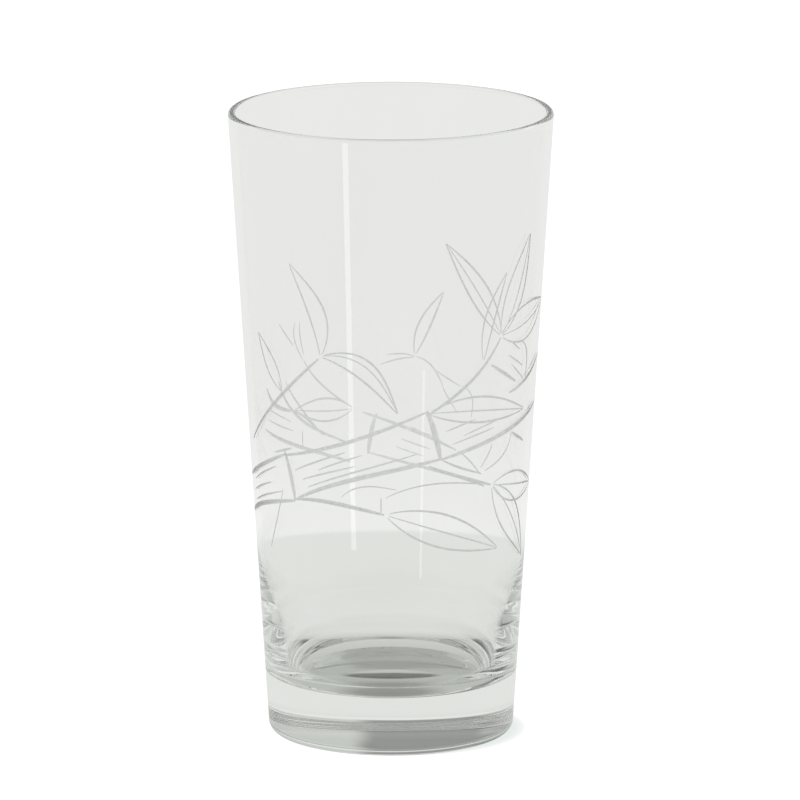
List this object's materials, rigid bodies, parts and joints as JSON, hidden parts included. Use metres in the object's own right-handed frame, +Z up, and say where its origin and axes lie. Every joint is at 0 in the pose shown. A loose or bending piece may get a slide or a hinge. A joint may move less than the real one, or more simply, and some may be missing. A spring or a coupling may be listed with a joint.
{
  "type": "mixing glass",
  "caption": "Tall tapered bartender's mixing glass: thin clear wall, bowl-shaped inside, heavy solid base and bamboo canes and leaves wheel-cut into the outside.",
  "frame": {"origin": "centre of the resting plane under the base", "axes": "+Z up along the axis of the glass, from the foot to the rim; -Y is the front, where the cane crosses the wall with its two upright leaf sprays above it; +X is to the right as seen from the front"},
  "size_m": [0.082, 0.082, 0.16],
  "materials": {
    "clear_glass": "fire-polished, clear, very slightly green",
    "matte_cut_glass": "unpolished wheel cut, matte, broad and deep",
    "fine_cut_glass": "unpolished wheel cut, matte, fine lines"
  },
  "bodies": {
    "root": {"glass_body": "clear_glass", "cane_engraving": "matte_cut_glass", "leaf_engraving": "fine_cut_glass"}
  },
  "joints": []
}
